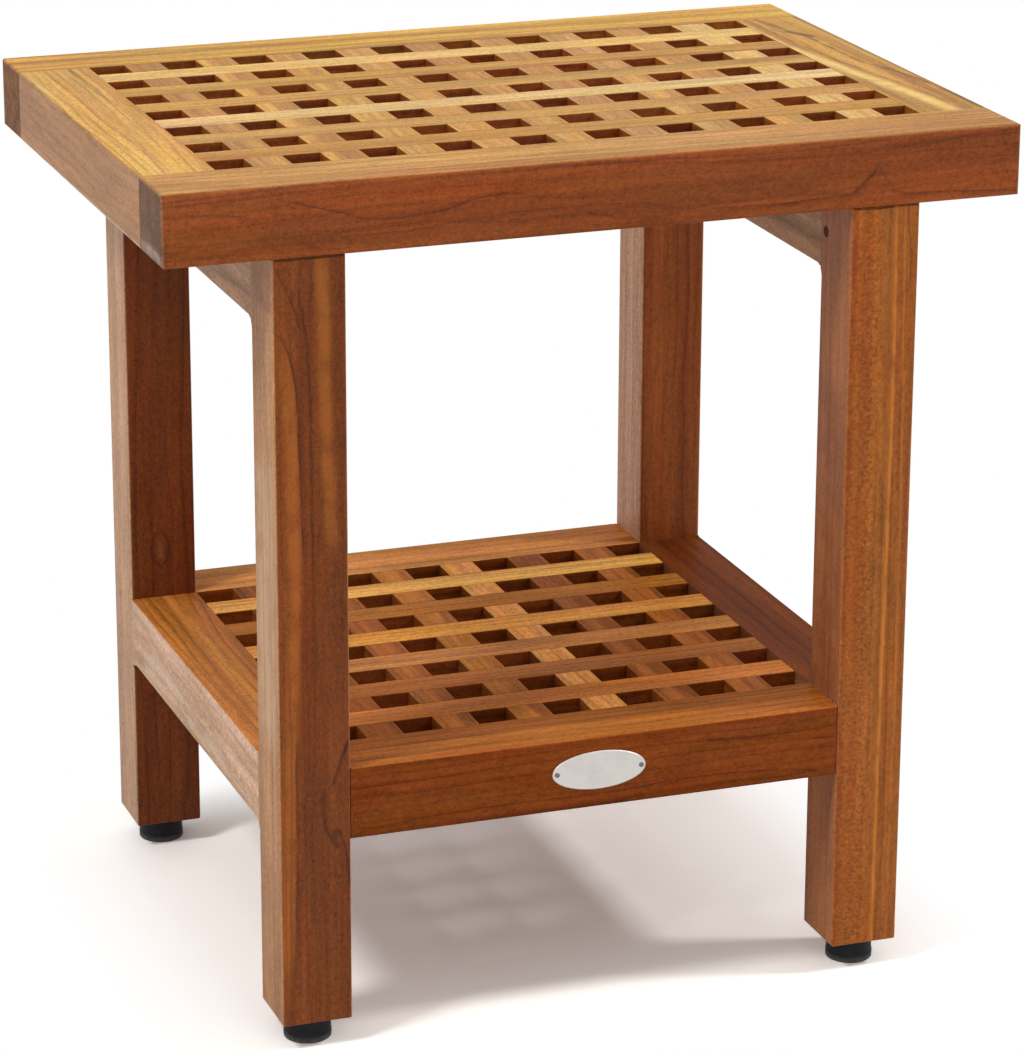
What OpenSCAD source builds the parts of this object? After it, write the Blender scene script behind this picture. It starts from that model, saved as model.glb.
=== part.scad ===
// Teak shower bench with a grate seat, a grate shelf and four screw-in levelling feet.
// X runs left to right, Y front to back and Z up.
// The origin is on the floor, under the middle of the bench.

/* [Overall] */
// Height of the seat above the floor, with the feet screwed in
bench_h = 457; // [380:1:520]
// Length of the top, left to right
top_len = 453; // [400:1:600]
// Depth of the top, front to back
top_depth = 325; // [280:1:400]

/* [Frame round the seat] */
// Height of the four rails
top_rail_h = 37; // [34:0.5:50]
// Width of the front and back rails
top_long_rail_w = 40; // [36:0.5:60]
// Width of the two end rails
top_end_rail_w = 38.5; // [32:0.5:45]

/* [Legs and aprons] */
// How far the legs stand in from the ends of the top
leg_inset_x = 55; // [45:0.5:80]
// How far the legs stand in from the front and back of the top
leg_inset_y = 1; // [0:0.5:4]
// Width of a leg, left to right
leg_w = 37.5; // [34:0.5:50]
// Depth of a leg, front to back
leg_d = 38; // [34:0.5:50]
// Height of the apron that joins two legs under the seat
apron_h = 39; // [30:0.5:60]

/* [Shelf] */
// Height of the shelf's surface above the floor
shelf_top_h = 152; // [120:1:220]
// Height of the four rails of the shelf
shelf_rail_h = 38.5; // [32:0.5:50]

/* [Grates] */
// Thickness of every slat
slat_t = 19; // [16:0.5:24]
// Width of the slats that run left to right
long_slat_w = 19; // [16:0.5:22]
// Width of the slats that run front to back
cross_slat_w = 20; // [16:0.5:22]
// Slats of the seat that run left to right
top_long_count = 6; // [4:1:6]
// Slats of the seat that run front to back
top_cross_count = 9; // [6:1:9]
// Slats of the shelf that run left to right
shelf_long_count = 6; // [4:1:6]
// Slats of the shelf that run front to back
shelf_cross_count = 6; // [4:1:6]

/* [Rounded edges] */
// Round on the upper and lower edges of the seat's frame
top_edge_r = 2; // [1:0.5:4]
// Round on the four upright corners of the seat's frame
top_corner_r = 3; // [1:0.5:5]
// Round on the long edges of the legs, and on the undersides of the aprons and shelf rails
leg_edge_r = 2; // [1:0.5:3]
// Round on the edges of a leg's lower end
leg_end_r = 2.5; // [1:0.5:3]
// Round on the upper edges of the legs and aprons
leg_top_r = 1; // [0.5:0.5:2]
// Round on the upper edges of the shelf's rails
shelf_edge_r = 1; // [0.5:0.5:2]
// Radius on which the rounding cutter turned in the inside corners of an end frame
cutter_r = 6; // [4:0.5:10]

/* [Joinery] */
// Thickness of the tenons on rails, aprons and legs
tenon_t = 12; // [8:0.5:14]
// Shoulder above and below the tenon of a rail or apron
tenon_shoulder = 7; // [5:0.5:9]
// Shoulder above and below the tenons that join the end rails to the front and back rails
corner_shoulder = 11; // [8:0.5:13]
// Length of the tenons that join the end rails to the front and back rails
corner_tenon_len = 20; // [12:0.5:26]
// Width of the tenons that join the end rails to the front and back rails
corner_tenon_w = 24; // [14:0.5:26]
// Height of the tenon on top of each leg
leg_tenon_h = 15; // [10:0.5:17]
// Width of the tenon on top of each leg
leg_tenon_w = 24; // [16:0.5:26]
// Length of the tenon on each end of a slat
slat_tenon_len = 8; // [5:0.5:12]
// Shoulder above and below the tenon of a slat
slat_shoulder = 4.5; // [3:0.5:6]
// Shoulder beside the tenon of a slat
slat_side_shoulder = 2; // [1:0.5:4]
// Diameter of the wooden pegs that lock the tenons
peg_d = 6; // [4:0.5:8]
// How far a peg goes in beyond the tenon that it locks
peg_beyond = 4; // [2:0.5:6]

/* [Levelling feet] */
// Diameter of a rubber pad
pad_d = 25; // [20:0.5:32]
// Height of the leg's underside above the floor, with the foot screwed in
foot_h = 14; // [12:0.5:18]
// Diameter of a foot's threaded stem
stem_d = 8; // [6:0.5:9]
// Length of stem inside the leg, with the foot screwed in
stem_in_leg = 30; // [26:1:40]
// How far the disc inside the pad stands out round the stem
disc_rim = 4; // [3:0.5:5]
// Thickness of that disc
disc_t = 3; // [2:0.5:4]
// Height of the disc above the floor
disc_z = 4; // [2:0.5:5]
// Round on the lower edge of a pad
pad_edge_r = 2; // [1:0.25:3]
// Round on the upper edge of a pad
pad_top_r = 1.25; // [0.5:0.25:2]
// Wall of the threaded insert in the leg
insert_wall = 1.5; // [1:0.25:2.5]
// Length of the threaded insert
insert_len = 15; // [10:1:20]
// Free depth round the stem above the insert
stem_hole_gap = 0.5; // [0.3:0.1:1]

/* [Nameplate] */
// Length of the bare oval plate on the front of the shelf
plate_len = 51.5; // [40:0.5:60]
// Height of the plate
plate_h = 21; // [14:0.5:24]
// Thickness of the plate
plate_t = 1; // [0.6:0.1:2]
// Height of the plate's middle above the middle of the rail
plate_lift = 1.5; // [0:0.5:3]
// Diameter of the head of a plate pin
pin_head_d = 2.6; // [2:0.1:3.4]
// Diameter of the shank of a plate pin
pin_shank_d = 1.4; // [1:0.1:1.8]
// Length of a pin's shank in the wood
pin_len = 9; // [6:0.5:12]
// From the tip of the plate to the middle of a pin
pin_from_tip = 2.6; // [2:0.1:5]

/* [Clearances] */
// Gap on each side of a tenon, a lap or a glued peg
wood_gap = 0.1; // [0.05:0.05:0.3]
// Free depth past the end of a tenon or a peg
end_gap = 1; // [0.5:0.5:2]
// Radial gap round what turns or slides
running_gap = 0.05; // [0.02:0.01:0.1]
// Gap between a screwed-in pad and its leg
seat_gap = 0.3; // [0.2:0.05:0.5]

/* [Hidden] */
$fn = 48;
spare = 1;

TEAK_GOLD = "#c98f4e";
TEAK_TAN = "#b9783f";
TEAK_BROWN = "#9a5528";
TEAK_RED = "#8a4522";
PEG_BROWN = "#5e3a22";
STEEL = "#c9c4bf";
BRASS = "#b98e45";
ZINC = "#9aa0a4";
RUBBER = "#17181b";

LEFT = -1;
RIGHT = 1;
FRONT = -1;
BACK = 1;
CORNERS = [
    ["front_left", LEFT, FRONT],
    ["front_right", RIGHT, FRONT],
    ["back_left", LEFT, BACK],
    ["back_right", RIGHT, BACK],
];

// Heights
rail_z = bench_h - top_rail_h;
apron_z = rail_z - apron_h;
shelf_rail_z = shelf_top_h - shelf_rail_h;
leg_len = rail_z - foot_h;

// The opening of the seat's frame that its grate fills
seat_open_x = top_len - 2 * top_end_rail_w;
seat_open_y = top_depth - 2 * top_long_rail_w;

// A leg, in the quarter where X and Y are positive
leg_out_x = top_len / 2 - leg_inset_x;
leg_in_x = leg_out_x - leg_w;
leg_mid_x = leg_out_x - leg_w / 2;
leg_out_y = top_depth / 2 - leg_inset_y;
leg_in_y = leg_out_y - leg_d;
leg_mid_y = leg_out_y - leg_d / 2;

// The opening between the shelf's rails that its grate fills
shelf_open_x = 2 * leg_in_x;
shelf_open_y = 2 * leg_in_y;

// Two tenons meet inside a leg at the height of the shelf, so both stop short of each other
leg_tenon_len = (min(leg_w, leg_d) - tenon_t) / 2 - end_gap;
apron_tenon_h = apron_h - 2 * tenon_shoulder;
shelf_tenon_h = shelf_rail_h - 2 * tenon_shoulder;
corner_tenon_h = top_rail_h - 2 * corner_shoulder;
slat_tenon_h = slat_t - 2 * slat_shoulder;
peg_len = (leg_w + tenon_t) / 2 + peg_beyond;
shelf_peg_z = shelf_rail_z + shelf_rail_h / 2;
apron_peg_z = apron_z + apron_h / 2;
leg_peg_z = rail_z + leg_tenon_h / 2;

// Levelling foot, from the floor up
disc_d = stem_d + 2 * disc_rim;
insert_d = stem_d + 2 * insert_wall;
pad_h = foot_h - seat_gap;
stem_top = foot_h + stem_in_leg;
stem_tip = 1;

plate_z = shelf_rail_z + shelf_rail_h / 2 + plate_lift;
pin_x = plate_len / 2 - pin_from_tip;
pin_head_t = 0.6;
plate_bevel = 0.4;

function numbered(name, count) = [for (i = [1:count]) str(name, "_", i)];

// ---------- shared shapes ----------

// Moves a shape from the quarter where X and Y are positive to the corner at side_x, side_y
module in_corner(side_x, side_y) {
    mirror([side_x < 0 ? 1 : 0, 0, 0])
        mirror([0, side_y < 0 ? 1 : 0, 0])
            children();
}

// A shape of the +X +Y quarter, at all four corners
module in_all_corners() {
    for (c = CORNERS)
        in_corner(c[1], c[2])
            children();
}

// What a round of radius r takes off a square corner at the origin, with the solid at +X +Y
module corner_waste(r) {
    difference() {
        translate([-spare, -spare])
            square(r + spare);
        translate([r, r])
            circle(r);
    }
}

// The same waste along an edge that runs up from the origin
module edge_waste(r, length) {
    translate([0, 0, -spare])
        linear_extrude(length + 2 * spare)
            corner_waste(r);
}

// The waste of the four edges of a bar that stands on a w by h base; radii go round it from the origin
module bar_wastes(w, h, length, radii) {
    corners = [[0, 0], [w, 0], [w, h], [0, h]];
    for (i = [0:3])
        if (radii[i] > 0)
            translate(corners[i])
                rotate(90 * i)
                    edge_waste(radii[i], length);
}

// A block with some edges rounded: the radii are those of the edges that run along each axis
module board(size, along_x = [0, 0, 0, 0], along_y = [0, 0, 0, 0], along_z = [0, 0, 0, 0]) {
    difference() {
        cube(size);
        rotate([90, 0, 90])
            bar_wastes(size.y, size.z, size.x, along_x);
        translate([0, size.y, 0])
            rotate([90, 0, 0])
                bar_wastes(size.x, size.z, size.y, along_y);
        bar_wastes(size.x, size.y, size.z, along_z);
    }
}

// A box given by its middle in X and Y, its underside and its size
module block(mid_x, mid_y, low_z, size) {
    translate([mid_x - size.x / 2, mid_y - size.y / 2, low_z])
        cube(size);
}

// A wooden peg or its hole, from the origin along +X
module peg(length, grow = 0) {
    rotate([0, 90, 0])
        cylinder(h = length, d = peg_d + 2 * grow);
}

// ---------- grates ----------

// The middle of slat number i of count slats of width w that share an opening with equal gaps
function slat_mid(i, count, w, opening) =
    let (gap = (opening - count * w) / (count + 1))
        -opening / 2 + i * (gap + w) - w / 2;

// The tenon of a slat, or its mortise when grow is set, from the end of a slat along +X
module slat_tenon(w, surface_z, grow = 0, deeper = 0) {
    tenon_w = w - 2 * slat_side_shoulder + 2 * grow;
    tenon_h = slat_tenon_h + 2 * grow;
    translate([-spare * (grow > 0 ? 1 : 0), -tenon_w / 2, surface_z - slat_shoulder - slat_tenon_h - grow])
        cube([slat_tenon_len + deeper + spare * (grow > 0 ? 1 : 0), tenon_w, tenon_h]);
}

// Slat that runs left to right: it is whole on top and notched from below over each cross slat
module long_slat(i, count, cross_count, open_x, open_y, surface_z) {
    // the first slat is the one at the back
    mid_y = -slat_mid(i, count, long_slat_w, open_y);
    difference() {
        block(0, mid_y, surface_z - slat_t, [open_x, long_slat_w, slat_t]);
        for (j = [1:cross_count])
            block(
                slat_mid(j, cross_count, cross_slat_w, open_x), mid_y, surface_z - slat_t - spare,
                [cross_slat_w + 2 * wood_gap, long_slat_w + 2 * spare, slat_t / 2 + spare]
            );
    }
    for (side = [LEFT, RIGHT])
        translate([side * open_x / 2, mid_y, 0])
            mirror([side < 0 ? 1 : 0, 0, 0])
                slat_tenon(long_slat_w, surface_z);
}

// Slat that runs front to back: it is notched from above under each long slat
module cross_slat(i, count, long_count, open_x, open_y, surface_z) {
    mid_x = slat_mid(i, count, cross_slat_w, open_x);
    difference() {
        block(mid_x, 0, surface_z - slat_t, [cross_slat_w, open_y, slat_t]);
        for (j = [1:long_count])
            block(
                mid_x, slat_mid(j, long_count, long_slat_w, open_y), surface_z - slat_t / 2,
                [cross_slat_w + 2 * spare, long_slat_w + 2 * wood_gap, slat_t / 2 + spare]
            );
    }
    for (side = [FRONT, BACK])
        translate([mid_x, side * open_y / 2, 0])
            rotate(side * 90)
                slat_tenon(cross_slat_w, surface_z);
}

// Mortises for the ends of the long slats, in the end rail at +X
module long_slat_mortises(count, open_x, open_y, surface_z) {
    for (i = [1:count])
        translate([open_x / 2, slat_mid(i, count, long_slat_w, open_y), 0])
            slat_tenon(long_slat_w, surface_z, wood_gap, end_gap);
}

// Mortises for the ends of the cross slats, in the rail at +Y
module cross_slat_mortises(count, open_x, open_y, surface_z) {
    for (i = [1:count])
        translate([slat_mid(i, count, cross_slat_w, open_x), open_y / 2, 0])
            rotate(90)
                slat_tenon(cross_slat_w, surface_z, wood_gap, end_gap);
}

// ---------- frame round the seat ----------

// Tenon of an end rail in the rail at +Y, or its mortise
module corner_tenon(grow = 0, deeper = 0) {
    start = grow > 0 ? spare : 0;
    mid_x = top_len / 2 - top_end_rail_w / 2;
    block(
        mid_x, seat_open_y / 2 + (corner_tenon_len + deeper - start) / 2,
        rail_z + (top_rail_h - corner_tenon_h) / 2 - grow,
        [corner_tenon_w + 2 * grow, corner_tenon_len + deeper + start, corner_tenon_h + 2 * grow]
    );
}

// Tenon on top of the leg at +X +Y, or its mortise
module leg_top_tenon(grow = 0, deeper = 0) {
    start = grow > 0 ? spare : 0;
    block(
        leg_mid_x, leg_mid_y, rail_z - start,
        [leg_tenon_w + 2 * grow, tenon_t + 2 * grow, leg_tenon_h + deeper + start]
    );
}

// The hole for the peg that goes through a leg's top tenon, from the inside of the rail at +Y
module leg_top_peg(grow = 0, deeper = 0) {
    start = grow > 0 ? spare : 0;
    length = leg_mid_y + tenon_t / 2 + peg_beyond - seat_open_y / 2;
    translate([leg_mid_x, seat_open_y / 2 - start, leg_peg_z])
        rotate(90)
            peg(length + deeper + start, grow);
}

// Front or back rail of the seat's frame: it runs the full length and shows its end grain
module top_long_rail(side_y) {
    r = top_edge_r;
    c = top_corner_r;
    color(TEAK_TAN)
        in_corner(RIGHT, side_y)
            difference() {
                translate([-top_len / 2, seat_open_y / 2, rail_z])
                    board(
                        [top_len, top_long_rail_w, top_rail_h],
                        along_x = [0, r, r, 0], along_y = [r, r, r, r], along_z = [0, 0, c, c]
                    );
                cross_slat_mortises(top_cross_count, seat_open_x, seat_open_y, bench_h);
                for (side_x = [LEFT, RIGHT])
                    in_corner(side_x, BACK) {
                        corner_tenon(wood_gap, end_gap);
                        leg_top_tenon(wood_gap, end_gap);
                        leg_top_peg(running_gap, end_gap);
                    }
            }
}

// End rail of the seat's frame, between the front and back rails
module top_end_rail(side_x) {
    r = top_edge_r;
    color(TEAK_GOLD)
        in_corner(side_x, BACK) {
            difference() {
                translate([seat_open_x / 2, -seat_open_y / 2, rail_z])
                    board([top_end_rail_w, seat_open_y, top_rail_h], along_y = [0, r, r, 0]);
                long_slat_mortises(top_long_count, seat_open_x, seat_open_y, bench_h);
            }
            for (side_y = [FRONT, BACK])
                in_corner(RIGHT, side_y)
                    corner_tenon();
        }
}

module top_slat(i) {
    color(TEAK_GOLD)
        long_slat(i, top_long_count, top_cross_count, seat_open_x, seat_open_y, bench_h);
}

module top_cross_slat(i) {
    color(TEAK_TAN)
        cross_slat(i, top_cross_count, top_long_count, seat_open_x, seat_open_y, bench_h);
}

// ---------- legs and aprons ----------

// Tenon of an apron or a shelf end rail in the leg at +X +Y, or its mortise
module end_tenon(low_z, height, grow = 0, deeper = 0) {
    start = grow > 0 ? spare : 0;
    block(
        leg_mid_x, leg_in_y + (leg_tenon_len + deeper - start) / 2, low_z + tenon_shoulder - grow,
        [tenon_t + 2 * grow, leg_tenon_len + deeper + start, height + 2 * grow]
    );
}

// Tenon of a shelf front or back rail in the leg at +X +Y, or its mortise
module side_tenon(grow = 0, deeper = 0) {
    start = grow > 0 ? spare : 0;
    block(
        leg_in_x + (leg_tenon_len + deeper - start) / 2, leg_mid_y, shelf_rail_z + tenon_shoulder - grow,
        [leg_tenon_len + deeper + start, tenon_t + 2 * grow, shelf_tenon_h + 2 * grow]
    );
}

// The peg that locks an end tenon at height z, or its hole, from the leg's inner face
module end_peg(z, grow = 0, deeper = 0) {
    start = grow > 0 ? spare : 0;
    translate([leg_in_x - start, leg_in_y + leg_tenon_len / 2, z])
        peg(peg_len + deeper + start, grow);
}

// The blind hole for a foot: wide for the insert, then just wide enough for the stem
module foot_hole() {
    translate([leg_mid_x, leg_mid_y, foot_h - spare]) {
        cylinder(h = spare + insert_len, d = insert_d + 2 * running_gap);
        cylinder(h = spare + stem_in_leg + end_gap, d = stem_d + 2 * stem_hole_gap);
    }
}

// What the rounding cutter took off the inside edges of an end frame, on both of its faces, round
// the space between low_z and top_z: up the legs, round the two upper corners and along the top
module window_waste(low_z, top_z) {
    r = leg_edge_r;
    run_y = leg_in_y - cutter_r;
    run_z = top_z - cutter_r;
    for (outer = [0, 1])
        translate([outer ? leg_out_x : leg_in_x, 0, 0])
            mirror([outer, 0, 0]) {
                translate([0, run_y, top_z])
                    rotate([90, 0, 0])
                        linear_extrude(2 * run_y)
                            corner_waste(r);
                for (front = [0, 1])
                    mirror([0, front, 0]) {
                        translate([0, leg_in_y, low_z])
                            linear_extrude(run_z - low_z)
                                corner_waste(r);
                        translate([0, run_y, run_z])
                            rotate([0, 90, 0])
                                rotate(90)
                                    rotate_extrude(angle = 90)
                                        translate([cutter_r, 0])
                                            corner_waste(r);
                    }
            }
}

module window_wastes() {
    window_waste(shelf_top_h, apron_z);
    window_waste(foot_h - spare, shelf_rail_z);
}

// A leg: its edges are rounded, but stay square where a rail of the shelf runs into it
module leg(side_x, side_y) {
    r = leg_edge_r;
    e = leg_end_r;
    t = leg_top_r;
    color(TEAK_BROWN)
        in_corner(side_x, side_y) {
            difference() {
                translate([leg_in_x, leg_in_y, foot_h])
                    board(
                        [leg_w, leg_d, leg_len],
                        along_x = [e, e, t, 0], along_y = [e, e, t, t], along_z = [0, 0, r, r]
                    );
                window_wastes();
                end_tenon(apron_z, apron_tenon_h, wood_gap, end_gap / 2);
                end_tenon(shelf_rail_z, shelf_tenon_h, wood_gap, end_gap / 2);
                side_tenon(wood_gap, end_gap / 2);
                end_peg(apron_peg_z, running_gap, end_gap);
                end_peg(shelf_peg_z, running_gap, end_gap);
                foot_hole();
            }
            difference() {
                leg_top_tenon();
                leg_top_peg(running_gap, end_gap);
            }
        }
}

// A bar between the two legs of one end, with its tenons pegged
module end_bar(side_x, low_z, height, tenon_h, peg_z, radii) {
    in_corner(side_x, BACK) {
        difference() {
            translate([leg_in_x, -leg_in_y, low_z])
                board([leg_w, 2 * leg_in_y, height], along_y = radii);
            window_wastes();
        }
        for (side_y = [FRONT, BACK])
            in_corner(RIGHT, side_y)
                difference() {
                    end_tenon(low_z, tenon_h);
                    end_peg(peg_z, running_gap, end_gap);
                }
    }
}

module apron(side_x) {
    t = leg_top_r;
    color(TEAK_BROWN)
        end_bar(side_x, apron_z, apron_h, apron_tenon_h, apron_peg_z, [0, 0, t, t]);
}

// ---------- shelf ----------

module shelf_end_rail(side_x) {
    t = shelf_edge_r;
    color(TEAK_RED)
        difference() {
            end_bar(side_x, shelf_rail_z, shelf_rail_h, shelf_tenon_h, shelf_peg_z, [0, 0, t, 0]);
            in_corner(side_x, BACK)
                long_slat_mortises(shelf_long_count, shelf_open_x, shelf_open_y, shelf_top_h);
        }
}

// The two blind holes for the plate's pins, in the front of the front rail
module pin_holes() {
    for (side_x = [LEFT, RIGHT])
        translate([side_x * pin_x, -leg_out_y - spare, plate_z])
            rotate([-90, 0, 0])
                cylinder(h = spare + pin_len + end_gap, d = pin_shank_d + 2 * running_gap);
}

module shelf_long_rail(side_y) {
    r = leg_edge_r;
    t = shelf_edge_r;
    color(TEAK_RED)
        difference() {
            in_corner(RIGHT, side_y) {
                difference() {
                    translate([-leg_in_x, leg_in_y, shelf_rail_z])
                        board(
                            [2 * leg_in_x, leg_d, shelf_rail_h],
                            along_x = [r, r, t, 0], along_z = [0, 0, r, r]
                        );
                    cross_slat_mortises(shelf_cross_count, shelf_open_x, shelf_open_y, shelf_top_h);
                }
                for (side_x = [LEFT, RIGHT])
                    in_corner(side_x, BACK)
                        side_tenon();
            }
            if (side_y == FRONT)
                pin_holes();
        }
}

module shelf_slat(i) {
    color(TEAK_BROWN)
        long_slat(i, shelf_long_count, shelf_cross_count, shelf_open_x, shelf_open_y, shelf_top_h);
}

module shelf_cross_slat(i) {
    color(TEAK_TAN)
        cross_slat(i, shelf_cross_count, shelf_long_count, shelf_open_x, shelf_open_y, shelf_top_h);
}

// ---------- pegs ----------

module apron_pegs() {
    color(PEG_BROWN)
        in_all_corners()
            end_peg(apron_peg_z);
}

module shelf_pegs() {
    color(PEG_BROWN)
        in_all_corners()
            end_peg(shelf_peg_z);
}

module leg_top_pegs() {
    color(PEG_BROWN)
        in_all_corners()
            leg_top_peg();
}

// ---------- nameplate ----------

// The oval outline of the plate, shrunk all round by inset
module plate_outline(inset = 0) {
    polygon([
        for (a = [0:5:355])
            [(plate_len / 2 - inset) * cos(a), (plate_h / 2 - inset) * sin(a)]
    ]);
}

// The plate is bare, with a step round its rim
module nameplate() {
    color(STEEL)
        translate([0, -leg_out_y, plate_z])
            rotate([90, 0, 0])
                difference() {
                    union() {
                        linear_extrude(plate_t - plate_bevel)
                            plate_outline();
                        linear_extrude(plate_t)
                            plate_outline(plate_bevel);
                    }
                    for (side_x = [LEFT, RIGHT])
                        translate([side_x * pin_x, 0, -spare])
                            cylinder(h = plate_t + 2 * spare, d = pin_shank_d + 2 * running_gap);
                }
}

module nameplate_pins() {
    color(ZINC)
        for (side_x = [LEFT, RIGHT])
            translate([side_x * pin_x, -leg_out_y - plate_t - pin_head_t, plate_z])
                rotate([-90, 0, 0]) {
                    cylinder(h = pin_head_t, d = pin_head_d);
                    cylinder(h = pin_head_t + plate_t + pin_len, d = pin_shank_d);
                }
}

// ---------- levelling feet ----------

// Brass sleeves in the undersides of the legs, threaded inside
module foot_inserts() {
    color(BRASS)
        in_all_corners()
            translate([leg_mid_x, leg_mid_y, foot_h])
                difference() {
                    cylinder(h = insert_len, d = insert_d);
                    translate([0, 0, -spare])
                        cylinder(h = insert_len + 2 * spare, d = stem_d + 2 * running_gap);
                }
}

// Threaded stem with the disc at its foot that the rubber grips
module foot_stem(side_x, side_y) {
    shaft_r = stem_d / 2;
    color(ZINC)
        in_corner(side_x, side_y)
            translate([leg_mid_x, leg_mid_y, 0])
                rotate_extrude()
                    polygon([
                        [0, disc_z],
                        [disc_d / 2, disc_z],
                        [disc_d / 2, disc_z + disc_t],
                        [shaft_r, disc_z + disc_t],
                        [shaft_r, stem_top - stem_tip],
                        [shaft_r - stem_tip, stem_top],
                        [0, stem_top],
                    ]);
}

// Rubber pad that turns with the stem: its edges are rounded, and it is hollow round the stem and its disc
module foot_pad(side_x, side_y) {
    pad_r = pad_d / 2;
    bore_r = stem_d / 2 + running_gap;
    disc_r = disc_d / 2 + running_gap;
    color(RUBBER)
        in_corner(side_x, side_y)
            translate([leg_mid_x, leg_mid_y, 0])
                rotate_extrude()
                    difference() {
                        square([pad_r, pad_h]);
                        translate([pad_r, 0])
                            rotate(90)
                                corner_waste(pad_edge_r);
                        translate([pad_r, pad_h])
                            rotate(180)
                                corner_waste(pad_top_r);
                        translate([0, disc_z - running_gap])
                            square([disc_r, disc_t + 2 * running_gap]);
                        translate([0, disc_z])
                            square([bore_r, pad_h]);
                    }
}

// ---------- assembly ----------

top_long_rail(FRONT);  // top_front_rail
top_long_rail(BACK);  // top_back_rail
top_end_rail(LEFT);  // top_left_rail
top_end_rail(RIGHT);  // top_right_rail
for (i = [1:top_long_count])
    top_slat(i);
for (i = [1:top_cross_count])
    top_cross_slat(i);
for (c = CORNERS)
    leg(c[1], c[2]);
apron(LEFT);  // apron_left
apron(RIGHT);  // apron_right
shelf_long_rail(FRONT);  // shelf_front_rail
shelf_long_rail(BACK);  // shelf_back_rail
shelf_end_rail(LEFT);  // shelf_left_rail
shelf_end_rail(RIGHT);  // shelf_right_rail
for (i = [1:shelf_long_count])
    shelf_slat(i);
for (i = [1:shelf_cross_count])
    shelf_cross_slat(i);
apron_pegs();
shelf_pegs();
leg_top_pegs();
nameplate();
nameplate_pins();
foot_inserts();
for (c = CORNERS)
    foot_stem(c[1], c[2]);
for (c = CORNERS)
    foot_pad(c[1], c[2]);
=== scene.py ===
# %% [markdown]
# # A teak shower bench, dressed over its construction
# The bench is made of forty-odd sticks of teak, a steel plate and four screw-in rubber feet. The
# construction comes in as a fixed frame, in metres, and nothing in it is moved or resized here. This
# script adds what a camera sees: eased edges, the grain of each stick, turned and threaded metal,
# and a plain studio.

# %% Load the bench and note its size
import math

import bpy
import numpy as np
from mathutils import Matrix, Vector


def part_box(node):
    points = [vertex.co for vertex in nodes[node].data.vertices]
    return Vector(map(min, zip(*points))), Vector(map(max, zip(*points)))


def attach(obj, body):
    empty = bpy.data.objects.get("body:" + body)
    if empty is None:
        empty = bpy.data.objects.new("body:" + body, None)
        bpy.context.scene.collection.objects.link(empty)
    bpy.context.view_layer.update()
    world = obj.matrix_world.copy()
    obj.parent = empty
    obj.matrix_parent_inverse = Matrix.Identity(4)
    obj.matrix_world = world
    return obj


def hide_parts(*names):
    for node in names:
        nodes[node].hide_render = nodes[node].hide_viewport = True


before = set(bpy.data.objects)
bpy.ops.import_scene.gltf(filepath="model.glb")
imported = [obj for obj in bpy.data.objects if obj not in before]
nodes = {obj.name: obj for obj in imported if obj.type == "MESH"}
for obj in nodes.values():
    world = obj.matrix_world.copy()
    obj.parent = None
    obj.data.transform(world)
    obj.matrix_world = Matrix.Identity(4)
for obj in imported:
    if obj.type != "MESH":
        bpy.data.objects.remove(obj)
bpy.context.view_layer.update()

MM = 0.001
CORNERS = ("front_left", "front_right", "back_left", "back_right")

# %% [markdown]
# ## The camera
# The photograph was taken from the front left and a little above. Fitting a camera to edges read
# off the photograph gave its place, its aim and how far the lens magnifies. The picture was cropped
# off centre, so the lens has a small sideways shift.

# %% Camera
PICTURE_W, PICTURE_H = 1024, 1054  # pixels of the photograph
FOCAL_PIXELS = 4290.7  # focal length, in those pixels
AXIS_X, AXIS_Y = 465.0, 526.4  # where the lens axis meets the picture
CAMERA_PLACE = (-0.7424, -2.0817, 0.9515)
YAW = math.radians(19.218)  # the aim, to the right of straight back
PITCH = math.radians(18.422)  # the aim, below the horizon
SENSOR = 36.0

camera_data = bpy.data.cameras.new("photo_camera")
camera_data.sensor_width = SENSOR
camera_data.lens = FOCAL_PIXELS / max(PICTURE_W, PICTURE_H) * SENSOR
camera_data.shift_x = (PICTURE_W / 2 - AXIS_X) / max(PICTURE_W, PICTURE_H)
camera_data.shift_y = (AXIS_Y - PICTURE_H / 2) / max(PICTURE_W, PICTURE_H)
camera_data.clip_start, camera_data.clip_end = 0.1, 60
camera = bpy.data.objects.new("photo_camera", camera_data)
camera.location = CAMERA_PLACE
camera.rotation_euler = (math.pi / 2 - PITCH, 0, -YAW)
bpy.context.scene.collection.objects.link(camera)
bpy.context.scene.camera = camera
print("camera with a lens of", round(camera_data.lens, 1), "mm")

# %% [markdown]
# ## Building blocks for materials
# Blender's materials are graphs of nodes. Small helpers keep the graphs readable: they add a node and
# fill its sockets, do arithmetic, and open a node group, a graph with named inputs and outputs that
# many materials can share.

# %% Helpers for node graphs
FLOAT, VECTOR = "NodeSocketFloat", "NodeSocketVector"
COLOUR, GEOMETRY = "NodeSocketColor", "NodeSocketGeometry"


def fill(tree, node, inputs):
    """Sets a node's sockets, by name or number, to values or to the outputs of other nodes."""
    for key, value in inputs.items():
        if isinstance(value, bpy.types.NodeSocket):
            tree.links.new(value, node.inputs[key])
        else:
            node.inputs[key].default_value = value
    return node


def add(tree, kind, inputs, **settings):
    """Adds a node with these settings and inputs."""
    node = tree.nodes.new(kind)
    for key, value in settings.items():
        setattr(node, key, value)
    return fill(tree, node, inputs)


def calc(tree, operation, a, b=0.0, c=0.0, clamp=False):
    """One sum, product or other operation on numbers; returns its output."""
    node = add(tree, "ShaderNodeMath", {}, operation=operation, use_clamp=clamp)
    return fill(tree, node, {0: a, 1: b, 2: c}).outputs[0]


def times(tree, a, b, plus=None):
    """The product of two numbers, with a third one added where it is given."""
    if plus is None:
        return calc(tree, "MULTIPLY", a, b)
    return calc(tree, "MULTIPLY_ADD", a, b, plus)


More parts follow.
